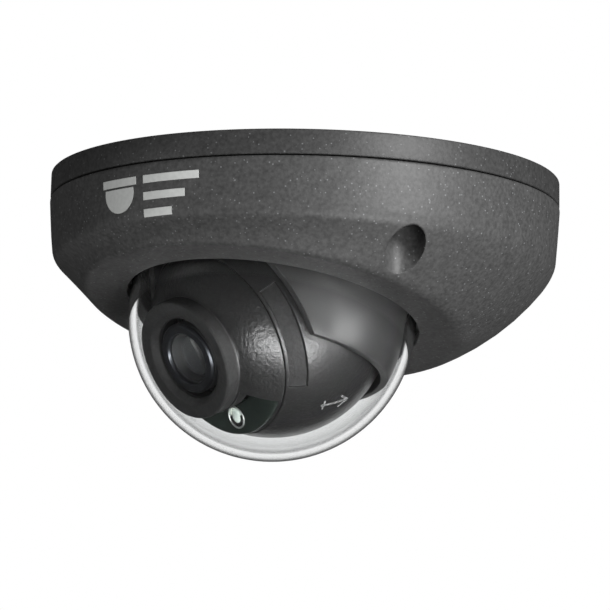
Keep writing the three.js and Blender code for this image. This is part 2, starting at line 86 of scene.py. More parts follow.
# ---------------------------------------------------------------- sizes and colours
class DomeCameraSizes(bpy.types.PropertyGroup):
    """Sizes that change how the pieces are shaped, without leaving the frame."""

    sides: IntProperty(
        name="Sides", description="Facets round the body", default=160, min=32, max=256)
    edge_round: FloatProperty(
        name="Wall edge round", description="Length of the soft edge below the wall",
        default=2.2 * MM, unit="LENGTH")
    rim_round: FloatProperty(
        name="Dome rim round", description="Length of the soft edge of the flat ring round the dome",
        default=1.3 * MM, unit="LENGTH")
    parting: FloatProperty(
        name="Parting line", description="Gap between base and cover",
        default=0.3 * MM, unit="LENGTH")
    grain: FloatProperty(
        name="Coat grain", description="Size of the powder coat's bumps",
        default=0.45 * MM, unit="LENGTH")
    mark_height: FloatProperty(
        name="Mark height", description="Height of the printed mark",
        default=8.8 * MM, unit="LENGTH")


def colour(label, words, hex_value):
    """A colour property whose default is an sRGB hex value."""
    return FloatVectorProperty(
        name=label, description=words, subtype="COLOR", size=4, min=0, max=1,
        default=linear(hex_value))


def linear(hex_value):
    """An sRGB hex value as a linear colour with full alpha."""
    channels = [(hex_value >> shift & 255) / 255 for shift in (16, 8, 0)]
    return (*[c / 12.92 if c <= 0.04045 else ((c + 0.055) / 1.055) ** 2.4 for c in channels], 1.0)


class DomeCameraColours(bpy.types.PropertyGroup):
    """Colours of the finishes."""

    cover: colour("Cover coat", "Graphite powder coat of the cover", 0x464646)
    base: colour("Base coat", "Powder coat of the base, a shade darker", 0x393939)
    ball: colour("Ball", "Textured camera ball", 0x181818)
    liner: colour("Liner", "Smooth shell behind the ball", 0x262626)
    mark: colour("Printed mark", "Pad-printed ink", 0xD2D4D2)
    bezel: colour("Lamp window", "Infra-red window round the lamp", 0x1A201D)


# ---------------------------------------------------------------- modelling helpers
def alone(piece):
    """Selects one piece and nothing else, in object mode."""
    if bpy.context.mode != "OBJECT":
        bpy.ops.object.mode_set(mode="OBJECT")
    bpy.ops.object.select_all(action="DESELECT")
    piece.select_set(True)
    bpy.context.view_layer.objects.active = piece


def clear_selection():
    if bpy.context.mode != "OBJECT":
        bpy.ops.object.mode_set(mode="OBJECT")
    bpy.ops.object.select_all(action="DESELECT")


def edit_all(piece):
    alone(piece)
    bpy.ops.object.mode_set(mode="EDIT")
    bpy.ops.mesh.select_all(action="SELECT")


def close_up(piece):
    """Merges doubled points and turns all faces outwards."""
    edit_all(piece)
    bpy.ops.mesh.remove_doubles(threshold=0.002 * MM)
    bpy.ops.mesh.normals_make_consistent(inside=False)
    bpy.ops.object.mode_set(mode="OBJECT")
    return piece


def drawn(points):
    """A chain of edges through (across, up) points in millimetres, extruded from one point."""
    clear_selection()
    bpy.ops.mesh.primitive_plane_add(size=MM)
    piece = bpy.context.object
    bpy.ops.object.mode_set(mode="EDIT")
    bpy.ops.mesh.select_all(action="SELECT")
    bpy.ops.mesh.merge(type="CENTER")
    bpy.ops.transform.translate(value=(points[0][0] * MM, 0, points[0][1] * MM))
    for (x0, z0), (x1, z1) in pairwise(points):
        step = ((x1 - x0) * MM, 0, (z1 - z0) * MM)
        bpy.ops.mesh.extrude_region_move(TRANSFORM_OT_translate={"value": step})
    return piece


def softened(points, radius, closed, steps=3):
    """The outline with its corners rounded, as far as its sides allow."""
    count = len(points)
    made = []
    for i, (x, z) in enumerate(points):
        if not closed and i in (0, count - 1):
            made.append((x, z))
            continue
        here = Vector((x, z))
        back = Vector(points[i - 1]) - here
        on = Vector(points[(i + 1) % count]) - here
        turn = back.angle(-on)
        reach = min(radius * tan(turn / 2), 0.42 * back.length, 0.42 * on.length)
        if turn < radians(20) or reach < 0.02:
            made.append((x, z))
            continue
        start, end = here + back.normalized() * reach, here + on.normalized() * reach
        for k in range(steps + 1):
            t = k / steps
            made.append(tuple((1 - t) ** 2 * start + 2 * t * (1 - t) * here + t * t * end))
    return made


def turned(points, closed=True, radius=0.2, steps=96, angle=2 * pi, start=0.0):
    """Spins an outline of (radius, height) points in millimetres about Z."""
    outline = softened(points, radius, closed) if radius else list(points)
    if closed:
        outline.append(outline[0])
    piece = drawn(outline)
    bpy.ops.mesh.select_all(action="SELECT")
    whole = abs(angle - 2 * pi) < 1e-6
    if closed:
        bpy.ops.mesh.remove_doubles(threshold=0.002 * MM)
        if not whole:
            bpy.ops.mesh.edge_face_add()
    bpy.ops.mesh.spin(steps=steps, angle=angle, center=(0, 0, 0), axis=(0, 0, 1))
    close_up(piece)
    # A spin may go either way round, so the piece is turned to begin at its start angle.
    if not whole:
        first = min(atan_degrees(v.co) for v in piece.data.vertices)
        move(piece, Matrix.Rotation(start - radians(first), 4, "Z"))
    return piece


def atan_degrees(point):
    """The angle of a point about Z, from -180 to 180 degrees."""
    return degrees(Vector((point.x, point.y)).angle_signed(Vector((1, 0))))


def arc(radius, low, high, steps):
    """(radius, height) points on a circle round the origin, between two heights."""
    a, b = asin(low / radius), asin(high / radius)
    return [
        (radius * cos(a + (b - a) * i / steps), radius * sin(a + (b - a) * i / steps))
        for i in range(steps + 1)
    ]


def move(piece, matrix):
    """Puts a piece in its place and leaves its object at the origin."""
    alone(piece)
    piece.matrix_world = matrix @ piece.matrix_world
    bpy.ops.object.transform_apply(location=True, rotation=True, scale=True)
    return piece


def rod(radius, low, high, x=0.0, y=0.0, sides=48):
    """A plain cylinder, in millimetres, mostly for cutting."""
    clear_selection()
    bpy.ops.mesh.primitive_cylinder_add(
        vertices=sides, radius=radius * MM, depth=(high - low) * MM,
        location=(x * MM, y * MM, (low + high) / 2 * MM))
    return move(bpy.context.object, Matrix.Identity(4))


def bar(width, depth, height, x=0.0, y=0.0, z=0.0):
    """A plain block, in millimetres, mostly for cutting."""
    clear_selection()
    bpy.ops.mesh.primitive_cube_add(size=1, location=(x * MM, y * MM, z * MM))
    piece = bpy.context.object
    piece.scale = (width * MM, depth * MM, height * MM)
    return move(piece, Matrix.Identity(4))


def carve(piece, *tools, how="DIFFERENCE"):
    """Cuts, joins or intersects the piece with each tool in turn."""
    for tool in tools:
        alone(piece)
        cut = piece.modifiers.new("cut", "BOOLEAN")
        cut.operation, cut.solver, cut.object = how, "EXACT", tool
        bpy.ops.object.modifier_apply(modifier=cut.name)
        bpy.data.objects.remove(tool)
    return piece


def joined(*parts):
    clear_selection()
    for part in parts:
        part.select_set(True)
    bpy.context.view_layer.objects.active = parts[0]
    bpy.ops.object.join()
    return parts[0]


def smooth(piece, angle=32):
    alone(piece)
    bpy.ops.object.shade_smooth_by_angle(angle=radians(angle))
    return piece


def bevelled(piece, width, segments=3, angle=30):
    """Rounds the sharp edges of a piece."""
    alone(piece)
    edges = piece.modifiers.new("edges", "BEVEL")
    edges.width, edges.segments, edges.limit_method = width * MM, segments, "ANGLE"
    edges.angle_limit, edges.use_clamp_overlap = radians(angle), True
    bpy.ops.object.modifier_apply(modifier=edges.name)
    return piece


def settle(piece, name, coating, body, *nodes, slot=None, angle=32):
    """Names, finishes and mounts a piece on its body, in place of its CAD nodes."""
    smooth(piece, angle)
    piece.name = piece.data.name = name
    piece.data.materials.clear()
    piece.data.materials.append(coating)
    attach(piece, body)
    if nodes:
        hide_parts(*nodes)
    if body in INSIDE_THE_DOME:
        for group_name, state in LIT_BY.items():
            group = bpy.data.collections[group_name]
            group.objects.link(piece)
            group.collection_objects[-1].light_linking.link_state = state
    return piece


def round_from_front(radius, angle):
    """A place on a circle, counted round from the front."""
    return radius * sin(angle), -radius * cos(angle)


# ---------------------------------------------------------------- finishes
PER_GRAIN, PER_BLOTCH = 0.55, 0.12  # noise scales that make a bump, or a patch, of a grain's size
NOISE_SPAN = {"From Min": 0.3, "From Max": 0.7}  # where nearly all of a noise's values lie


def add(tree, kind, inputs=None, **settings):
    """Adds a node with its settings, its values and its links."""
    made = tree.nodes.new(kind)
    for name, value in settings.items():
        setattr(made, name, value)
    for socket, value in (inputs or {}).items():
        if isinstance(value, bpy.types.NodeSocket):
            tree.links.new(value, made.inputs[socket])
        else:
            made.inputs[socket].default_value = value
    return made


def finish(name, **values):
    """A new material; its Principled shader has these values, set on its own sockets."""
    made = bpy.data.materials.new(name)
    made.use_nodes = True
    tree = made.node_tree
    shader = tree.nodes["Principled BSDF"]
    for socket, value in values.items():
        shader.inputs[socket.replace("_", " ")].default_value = value
    return made, tree, shader


def place_of(tree):
    """The point being shaded, in the object's own coordinates, which are metres."""
    return add(tree, "ShaderNodeTexCoord").outputs["Object"]


def powder_coat(name, tint, grain, fleck=0.5):
    """Fused polyester powder on die-cast aluminium: a fine orange-peel with light metallic flecks.

    The peel spreads highlights wide and soft; the flecks sparkle where the light falls.
    """
    made, tree, shader = finish(name, Roughness=0.5, IOR=1.5)
    where = place_of(tree)
    speck = add(tree, "ShaderNodeTexNoise", {
        "Vector": where, "Scale": PER_GRAIN / grain, "Detail": 2.0})
    blotch = add(tree, "ShaderNodeTexNoise", {
        "Vector": where, "Scale": PER_BLOTCH / grain, "Detail": 1.0})
    tone = add(tree, "ShaderNodeMapRange", {
        "Value": speck.outputs["Fac"], **NOISE_SPAN, "To Min": 0.72, "To Max": 1.25})
    shade = add(tree, "ShaderNodeMapRange", {
        "Value": blotch.outputs["Fac"], **NOISE_SPAN, "To Min": 0.93, "To Max": 1.07})
    both = add(tree, "ShaderNodeMath", {0: tone.outputs["Result"], 1: shade.outputs["Result"]},
               operation="MULTIPLY")
    body = add(tree, "ShaderNodeVectorMath", {0: tint[:3], "Scale": both.outputs["Value"]},
               operation="SCALE")
    # Aluminium flakes lie about 0.9 mm apart, so they are drawn a little larger than life.
    cells = add(tree, "ShaderNodeTexVoronoi", {"Vector": where, "Scale": 1 / (0.9 * MM)})
    flake = add(tree, "ShaderNodeMapRange", {
        "Value": cells.outputs["Distance"], "From Min": 0.1, "From Max": 0.22,
        "To Min": fleck, "To Max": 0.0})
    chance = add(tree, "ShaderNodeSeparateColor", {"Color": cells.outputs["Color"]})
    some = add(tree, "ShaderNodeMath", {0: chance.outputs["Red"], 1: 0.62}, operation="GREATER_THAN")
    amount = add(tree, "ShaderNodeMath", {0: flake.outputs["Result"], 1: some.outputs["Value"]},
                 operation="MULTIPLY")
    mixed = add(tree, "ShaderNodeMix", {
        "Factor": amount.outputs["Value"], "A": body.outputs["Vector"], "B": linear(0x9A9C9E)},
        data_type="RGBA")
    tree.links.new(mixed.outputs["Result"], shader.inputs["Base Color"])
    edge = add(tree, "ShaderNodeBevel", {"Radius": 0.45 * MM}, samples=4)
    peel = add(tree, "ShaderNodeBump", {
        "Height": speck.outputs["Fac"], "Strength": 0.55, "Distance": 0.07 * MM,
        "Normal": edge.outputs["Normal"]})
    tree.links.new(peel.outputs["Normal"], shader.inputs["Normal"])
    return made


def moulded(name, tint, roughness, grain=0.3, depth=0.02, mottle=0.08, coat=0.0,
            ball_radius=None):
    """Injection-moulded plastic: an even colour, a fine spark-eroded grain and soft edges.

    With a ball's radius, only the skin of that ball is satin, and what stands off it is dull.
    """
    made, tree, shader = finish(name, Roughness=roughness, IOR=1.5, Coat_Weight=coat)
    where = place_of(tree)
    texture = add(tree, "ShaderNodeTexNoise", {
        "Vector": where, "Scale": PER_GRAIN / (grain * MM), "Detail": 2.0})
    tone = add(tree, "ShaderNodeMapRange", {
        "Value": texture.outputs["Fac"], **NOISE_SPAN,
        "To Min": 1 - mottle, "To Max": 1 + mottle})
    body = add(tree, "ShaderNodeVectorMath", {0: tint[:3], "Scale": tone.outputs["Result"]},
               operation="SCALE")
    tree.links.new(body.outputs["Vector"], shader.inputs["Base Color"])
    edge = add(tree, "ShaderNodeBevel", {"Radius": 0.2 * MM}, samples=4)
    bump = add(tree, "ShaderNodeBump", {
        "Height": texture.outputs["Fac"], "Strength": 0.5, "Distance": depth * MM,
        "Normal": edge.outputs["Normal"]})
    tree.links.new(bump.outputs["Normal"], shader.inputs["Normal"])
    if ball_radius:
        reach = add(tree, "ShaderNodeVectorMath", {0: where, 1: HEAD.translation},
                    operation="DISTANCE")
        off = add(tree, "ShaderNodeMath", {0: reach.outputs["Value"], 1: ball_radius * MM},
                  operation="SUBTRACT")
        off = add(tree, "ShaderNodeMath", {0: off.outputs["Value"]}, operation="ABSOLUTE")
        levels = (("Roughness", roughness, 0.62), ("Specular IOR Level", 0.65, 0.22))
        for socket, satin, dull in levels:
            level = add(tree, "ShaderNodeMapRange", {
                "Value": off.outputs["Value"], "From Min": 0.1 * MM, "From Max": 0.4 * MM,
                "To Min": satin, "To Max": dull})
            tree.links.new(level.outputs["Result"], shader.inputs[socket])
    return made


def metal(name, tint, roughness):
    """Turned or stamped metal: a mirror-like base colour, with fine tool marks."""
    made, tree, shader = finish(name, Base_Color=tint, Metallic=1.0)
    where = place_of(tree)
    marks = add(tree, "ShaderNodeTexNoise", {
        "Vector": where, "Scale": 0.5 / (0.25 * MM), "Detail": 3.0})
    rough = add(tree, "ShaderNodeMapRange", {
        "Value": marks.outputs["Fac"], "To Min": roughness - 0.06, "To Max": roughness + 0.1})
    tree.links.new(rough.outputs["Result"], shader.inputs["Roughness"])
    edge = add(tree, "ShaderNodeBevel", {"Radius": 0.08 * MM}, samples=4)
    bump = add(tree, "ShaderNodeBump", {
        "Height": marks.outputs["Fac"], "Strength": 0.2, "Distance": 0.01 * MM,
        "Normal": edge.outputs["Normal"]})
    tree.links.new(bump.outputs["Normal"], shader.inputs["Normal"])
    return made


def clear_plastic(name, tint, ior):
    """Optically clear polycarbonate or glass, faintly uneven in tint where it cooled slower."""
    made, tree, shader = finish(name, Roughness=0.0, IOR=ior, Transmission_Weight=1.0)
    flow = add(tree, "ShaderNodeTexNoise", {
        "Vector": place_of(tree), "Scale": 1 / (9 * MM), "Detail": 1.0})
    even = add(tree, "ShaderNodeMapRange", {
        "Value": flow.outputs["Fac"], "To Min": 0.99, "To Max": 1.0})
    body = add(tree, "ShaderNodeVectorMath", {0: tint[:3], "Scale": even.outputs["Result"]},
               operation="SCALE")
    tree.links.new(body.outputs["Vector"], shader.inputs["Base Color"])
    return made


def circuit_board(name):
    """Glass-epoxy board under green solder mask: tracks are lighter lines, pads bare gold."""
    made, tree, shader = finish(name, Roughness=0.35, IOR=1.5, Coat_Weight=0.3)
    where = place_of(tree)
    grid = add(tree, "ShaderNodeTexBrick", {
        "Vector": where, "Scale": 1.0, "Mortar Size": 0.13 * MM, "Brick Width": 4.6 * MM,
        "Row Height": 1.3 * MM, "Color1": linear(0x17502F), "Color2": linear(0x1B5934),
        "Mortar": linear(0x2F7A4C)})
    dots = add(tree, "ShaderNodeTexVoronoi", {"Vector": where, "Scale": 1 / (3.1 * MM)})
    pad = add(tree, "ShaderNodeMath", {0: dots.outputs["Distance"], 1: 0.12}, operation="LESS_THAN")
    mixed = add(tree, "ShaderNodeMix", {
        "Factor": pad.outputs["Value"], "A": grid.outputs["Color"], "B": linear(0xC8A24A)},
        data_type="RGBA")
    tree.links.new(mixed.outputs["Result"], shader.inputs["Base Color"])
    return made


FINISHES = {}


def make_finishes():
    """All finishes, each made once.

    The coat and the mouldings spread their highlights; the metals and clear parts keep them sharp.
    The ball's spark grain is too fine to show, so it is drawn 0.4 mm wide.
    """
    tints = bpy.context.scene.dome_camera_colours
    grain = bpy.context.scene.dome_camera_sizes.grain
    FINISHES.update(
        cover=powder_coat("Powder-coated cast aluminium", tints.cover, grain),
        base=powder_coat("Powder-coated cast aluminium, darker", tints.base, grain, 0.35),
        ball=moulded("Spark-textured ABS", tints.ball, 0.3, grain=0.4, depth=0.2, mottle=0.4,
                     ball_radius=BALL_RADIUS),
        liner=moulded("Smooth ABS", tints.liner, 0.33, grain=3.0, depth=0.01, mottle=0.03),
        black=moulded("Black glass-filled nylon", linear(0x1B1C1D), 0.5),
        bezel=moulded("Infra-red window acrylic", tints.bezel, 0.22, depth=0.002, mottle=0.03,
                      coat=0.3),
        ink=moulded("Pad-printed ink", tints.mark, 0.55, grain=0.5, depth=0.02, mottle=0.05),
        # The arrow's finish is the ball's black plastic painted light grey: a painted highlight
        # standing in for the glints on its raised strokes.
        worn=moulded("Black ABS lightened as painted highlight", linear(0x626262), 0.3, depth=0.01, mottle=0.1),
        rubber=moulded("Moulded silicone", linear(0x161718), 0.75, grain=0.6, depth=0.02),
        nylon=moulded("Natural nylon", linear(0xD9D6CC), 0.45, grain=0.8, depth=0.01, mottle=0.03),
        chip=moulded("Epoxy moulding compound", linear(0x1E1F21), 0.6, grain=0.3),
        steel=metal("Zinc-plated steel", linear(0xB9BBBD), 0.32),
        dark_steel=metal("Blackened stainless steel", linear(0x55575A), 0.38),
        ring=metal("Black-anodised aluminium", linear(0x4A4C50), 0.3),
        can=metal("Bare aluminium", linear(0xD0D2D4), 0.28),
        gold=metal("Gold-plated brass", linear(0xE0B85A), 0.25),
        bright=metal("Silver-plated copper", linear(0xE9ECEA), 0.42),
        dome=clear_plastic("Clear polycarbonate", linear(0xFBFCFC), 1.58),
        epoxy=finish("Frosted lamp epoxy", Base_Color=linear(0xDDE8E1), Roughness=0.2, IOR=1.5,
                     Transmission_Weight=0.35)[0],
        board=circuit_board("Solder-masked glass epoxy"),
        filter=clear_plastic("Infra-red blocking glass", linear(0xC9688C), 1.5),
    )
    for name, tint, clear in (("glass", 0xF2F4F6, 1.0), ("coated", 0x35241C, 0.0)):
        FINISHES[name] = finish(
            f"Coated optical glass, {name}", Base_Color=linear(tint), Roughness=0.03, IOR=1.6,
            Transmission_Weight=clear, Specular_Tint=linear(0xC9B8E8))[0]


# ---------------------------------------------------------------- cover and base
def ring(radius, y, z, lean=0.0):
    """One ring of a loft: its radius, its centre and how far it leans."""
    return Vector((radius, y, z, lean))


def flank(s, inset=0.0):
    """The cover's flank, from the wall's edge at 0 to the flat ring round the dome at 1."""
    swell = 4 * s * (1 - s)
    rim_y, rim_z = DOME_Y + RIM_RISE * sin(LEAN), DOME_Z + RIM_RISE * cos(LEAN)
    return ring(
        WALL_RADIUS + (RIM_RADIUS - WALL_RADIUS) * s + 0.35 * swell - inset,
        rim_y * s + 1.1 * swell,
        WALL_FOOT + (rim_z - WALL_FOOT) * s - 0.7 * swell + inset,
        EDGE_LEAN + (LEAN - EDGE_LEAN) * s + radians(0.5) * swell)


def round_the_dome(radius, height):
    """A ring in the dome's frame, at a height above its centre."""
    return ring(radius, DOME_Y + height * sin(LEAN), DOME_Z + height * cos(LEAN), LEAN)


def corner(before, at, after, steps=6):
    """Rings that go softly round a corner."""
    return [
        (1 - t) ** 2 * before + 2 * t * (1 - t) * at + t * t * after
        for t in (k / steps for k in range(steps + 1))
    ]


def lofted(rings, sides, closed):
    """A skin extruded from ring to ring; each may be moved, scaled and leaned."""
    clear_selection()
    first = rings[0]
    bpy.ops.mesh.primitive_circle_add(
        vertices=sides, radius=first[0] * MM, fill_type="NOTHING" if closed else "NGON",
        location=(0, first[1] * MM, first[2] * MM))
    piece = bpy.context.object
    bpy.ops.object.mode_set(mode="EDIT")
    bpy.ops.mesh.select_all(action="SELECT")
    for a, b in pairwise(rings):
        middle = (0, a[1] * MM, a[2] * MM)
        bpy.ops.mesh.extrude_region_move()
        bpy.ops.transform.resize(value=(b[0] / a[0],) * 3, center_override=middle)
        if abs(b[3] - a[3]) > 1e-7:
            # With no window a rotation goes the other way round, so a lean is given as it is.
            bpy.ops.transform.rotate(value=b[3] - a[3], orient_axis="X", center_override=middle)
        bpy.ops.transform.translate(value=(0, (b[1] - a[1]) * MM, (b[2] - a[2]) * MM))
    bpy.ops.object.mode_set(mode="OBJECT")
    move(piece, Matrix.Identity(4))
    return close_up(piece)


def cover_outline(sizes):
    """The rings of the cover's outside, from the parting line to the dome's mouth."""
    top = -5.3 - sizes.parting / MM
    edge, rim = sizes.edge_round / MM, sizes.rim_round / MM
    slope = rim / 20  # a share of the flank, which is 17 to 20 mm long
    foot = ring(WALL_RADIUS + 0.06 * edge, 0, WALL_FOOT + 0.8 * edge, EDGE_LEAN * 0.9)
    return [
        *corner(ring(52.85, 0, top), ring(53.3, 0, top), ring(53.27, 0, top - 0.7), 4),
        ring(53.08, 0, -10), ring(52.87, 0, -13.5),
        *corner(foot, flank(0), flank(edge / 17)),
        *[flank(s / 10) for s in (2.5, 4, 5.5, 7, 8.2)],
        *corner(flank(1 - slope * 1.4), flank(1), round_the_dome(RIM_RADIUS - rim, RIM_RISE)),
        round_the_dome(35, RIM_RISE),
        *corner(round_the_dome(LIP_RADIUS + 0.5, RIM_RISE), round_the_dome(LIP_RADIUS, RIM_RISE),
                round_the_dome(LIP_RADIUS, 1.6), 4),
    ]


class DOMECAM_OT_cover(bpy.types.Operator):
    """Lofts the cast cover, with its three screw recesses"""

    bl_idname = "domecam.cover"
    bl_label = "Cover"

    def execute(self, context):
        sizes = context.scene.dome_camera_sizes
        outside = cover_outline(sizes)
        inside = [
            round_the_dome(LIP_RADIUS, 3.3), round_the_dome(37.8, 3.3),
            *[flank(s, 1.54) for s in (0.9, 0.75, 0.6, 0.45, 0.3)],
            ring(50.2, 0, -17.5, EDGE_LEAN), ring(50.8, 0, outside[0][2]), outside[0],
        ]
        shell = lofted(outside + inside, sizes.sides, closed=True)
        fill = lofted(
            [ring(51.5, 0, -7), ring(51.5, 0, -17.6), *[flank(s / 8, 0.9) for s in range(1, 8)],
             round_the_dome(38.2, 2)], sizes.sides, closed=False)
        edit_all(fill)
        bpy.ops.mesh.select_all(action="DESELECT")
        bpy.ops.mesh.select_non_manifold()
        if any(e.select for e in bmesh.from_edit_mesh(fill.data).edges):
            bpy.ops.mesh.edge_face_add()
        close_up(fill)
        bosses = [rod(5.7, -45, -9, *round_from_front(COVER_SCREW_RADIUS, a))
                  for a in COVER_SCREWS]
        bosses = carve(joined(*bosses), fill, how="INTERSECT")
        carve(shell, bosses, how="UNION")
        for a in COVER_SCREWS:
            x, y = round_from_front(COVER_SCREW_RADIUS, a)
            bore = turned([(0, -60), (4.25, -60), (4.25, -12.1), (3.9, -11.5), (2.3, -11.5),
                           (2.3, -8), (0, -8)], closed=False, radius=0, steps=72)
            carve(shell, move(bore, Matrix.Translation((x * MM, y * MM, 0))))
        settle(shell, "cover_casting", FINISHES["cover"], "base", "cover_housing",
               slot="cover_paint", angle=28)
        return {"FINISHED"}


class DOMECAM_OT_base(bpy.types.Operator):
    """Turns the cast base, with its cable and mounting holes, and its posts"""

    bl_idname = "domecam.base"
    bl_label = "Base"

    def execute(self, context):
        sizes = context.scene.dome_camera_sizes
        tray = turned([
            (0, 0), (12, 0), (12, -0.5), (36, -0.5), (36, 0), (53.1, 0), (53.2, -5.3), (52, -5.3),
            (52, -4.3), (50.9, -4.3), (50.9, -5.3), (49.8, -5.3), (49.8, -2.5), (0, -2.5)],
            closed=False, radius=0.35, steps=sizes.sides)
        carve(tray, rod(13.5, -2.2, 0, 0, CABLE_Y, 96), how="UNION")
        for a in MOUNT_HOLES:
            x, y = round_from_front(MOUNT_HOLE_RADIUS, a)
            hole = turned([(0, 1), (2.9, 1), (2.9, -0.1), (2.3, -0.7), (2.3, -4), (0, -4)],
                          closed=False, radius=0, steps=48)
            carve(tray, move(hole, Matrix.Translation((x * MM, y * MM, 0))))
        carve(tray, rod(9, -4, 1, 0, CABLE_Y, 96))
        settle(tray, "base_casting", FINISHES["base"], "base", "base_plate",
               slot="base_paint", angle=28)
        posts = []
        for a in COVER_SCREWS:
            posts.append(post(3.6, 2.3, -8.7, *round_from_front(COVER_SCREW_RADIUS, a)))
        for x, y in BOARD_SCREWS:
            posts.append(post(2.5, 1.5, -6.7, x, y))
        for a in SEAT_POSTS:
            x, y = round_from_front(SEAT_POST_RADIUS, a)
            column = rod(3.2, 15.1, 45, x, y)
            move(column, HEAD)
            keep = rod(49.5, -40, -2.3, sides=96)
            carve(column, keep, how="INTERSECT")
            hole = move(rod(1.3, 14, 21, x, y, 32), HEAD)
            posts.append(bevelled(carve(column, hole), 0.2))
        settle(joined(*posts), "base_posts", FINISHES["base"], "base", slot="base_paint")
        grommet = turned([(4.2, 0), (8.7, 0), (8.7, -2.8), (10.8, -2.8), (10.8, -4.4), (4.2, -4.4)],
                         radius=0.5, steps=72)
        move(grommet, Matrix.Translation((0, CABLE_Y * MM, 0)))
        settle(grommet, "grommet", FINISHES["rubber"], "base", "cable_grommet", slot="silicone")
        return {"FINISHED"}


def post(radius, bore, foot, x, y):
    """A hollow screw post that stands down from the base."""
    made = turned([(bore, -2.3), (radius, -2.3), (radius, foot), (bore, foot)],
                  radius=0.3, steps=40)
    return move(made, Matrix.Translation((x * MM, y * MM, 0)))


class DOMECAM_OT_mark(bpy.types.Operator):
    """Prints the plain camera mark on the wall of the cover"""

    bl_idname = "domecam.mark"
    bl_label = "Printed mark"

    def execute(self, context):
        tall = context.scene.dome_camera_sizes.mark_height / MM
        middle, across, front = -12.6, 3.4, -55
        thick, top = 1.7, middle + tall / 2
        shapes = []
        # A little ceiling camera: a flat cap, and half a disc under it.
        shapes.append(bar(9.8, 1, thick, -7.6 + across, front, top - thick / 2))
        half = rod(4.2, -0.5, 0.5, sides=48)
        half = carve(half, bar(12, 12, 4, 0, 6.9))
        move(half, Matrix.Translation(((across - 7.6) * MM, front * MM, (top - 3) * MM)) @ FORWARD)
        shapes.append(half)
        # Three bars beside it, each shorter than the last.
        for i, length in enumerate((13.4, 10.2, 7.0)):
            shapes.append(bar(length, 1, thick, across - 0.8 + length / 2, front,
                              top - thick / 2 - i * (tall - thick) / 2))
        mark = joined(*shapes)
        edit_all(mark)
        bpy.ops.mesh.select_all(action="DESELECT")
        faces = bmesh.from_edit_mesh(mark.data)
        for face in faces.faces:
            face.select = face.normal.y > -0.9
        bmesh.update_edit_mesh(mark.data)
        bpy.ops.mesh.delete(type="FACE")
        bpy.ops.mesh.select_all(action="SELECT")
        bpy.ops.mesh.quads_convert_to_tris()
        bpy.ops.mesh.subdivide(number_cuts=5)
        bpy.ops.object.mode_set(mode="OBJECT")
        wrap = mark.modifiers.new("wrap", "SHRINKWRAP")
        wrap.target, wrap.wrap_method = bpy.data.objects["cover_casting"], "PROJECT"
        wrap.use_project_y, wrap.use_project_x = True, False
        wrap.use_positive_direction, wrap.offset = True, 0.05 * MM
        bpy.ops.object.modifier_apply(modifier=wrap.name)
        film = mark.modifiers.new("film", "SOLIDIFY")
        film.thickness, film.offset = 0.04 * MM, 1
        bpy.ops.object.modifier_apply(modifier=film.name)
        settle(mark, "printed_mark", FINISHES["ink"], "base", slot="cover_paint")
        return {"FINISHED"}


class DOMECAM_OT_screws(bpy.types.Operator):
    """Turns the cover screws, each with a six-lobed socket round a pin"""

    bl_idname = "domecam.screws"
    bl_label = "Cover screws"

    def execute(self, context):
        master = turned([(0, -2.6), (3.1, -2.6), (3.5, -2.2), (3.5, 0), (1.9, 0), (1.9, 8.2),
                         (0, 8.2)], closed=False, radius=0.15, steps=64)
        lobes = [rod(0.52, -4, -1.2, *round_from_front(1.3, radians(60 * k)), 20)
                 for k in range(6)]
        carve(master, *lobes, rod(1.22, -4, -1.2, sides=24))
        carve(master, rod(0.5, -2.4, -0.8, sides=24), how="UNION")
        for i, a in enumerate(COVER_SCREWS):
            x, y = round_from_front(COVER_SCREW_RADIUS, a)
            alone(master)
            bpy.ops.object.duplicate()
            copy = move(bpy.context.object, Matrix.Translation((x * MM, y * MM, -12.2 * MM)))
            settle(copy, f"security_screw_{i + 1}", FINISHES["dark_steel"], "base",
                   f"cover_screw_{i + 1}", slot="black_steel")
        bpy.data.objects.remove(master)
        return {"FINISHED"}


# ---------------------------------------------------------------- dome, seat and liner
class DOMECAM_OT_dome(bpy.types.Operator):
    """Turns the clear dome, its gasket and the gasket between base and cover"""

    bl_idname = "domecam.dome"
    bl_label = "Clear dome"

    def execute(self, context):
        outer = arc(DOME_RADIUS, -DOME_RADIUS, 0, 36)
        inner = arc(DOME_INNER, 0, -DOME_INNER, 36)
        bubble = turned([*outer, (DOME_RADIUS, 4.6), (32.8, 4.6), (32.8, 6.4), (DOME_INNER, 6.4),
                         *inner], closed=False, radius=0.2, steps=144)
        move(bubble, HEAD)
        settle(bubble, "clear_dome", FINISHES["dome"], "base", "dome_bubble",
               slot="clear_polycarbonate", angle=40)
        bubble.visible_shadow = False
        gasket = turned([(31, 3.6), (33.2, 3.6), (33.2, 4.3), (31, 4.3)], steps=120)
        settle(move(gasket, HEAD), "dome_seal", FINISHES["rubber"], "base", "dome_gasket",
               slot="silicone")
        seal = turned([(51.1, -4.5), (51.8, -4.5), (51.8, -5.45), (51.1, -5.45)], steps=144)
        settle(seal, "cover_seal", FINISHES["rubber"], "base", "cover_gasket", slot="silicone")
        return {"FINISHED"}


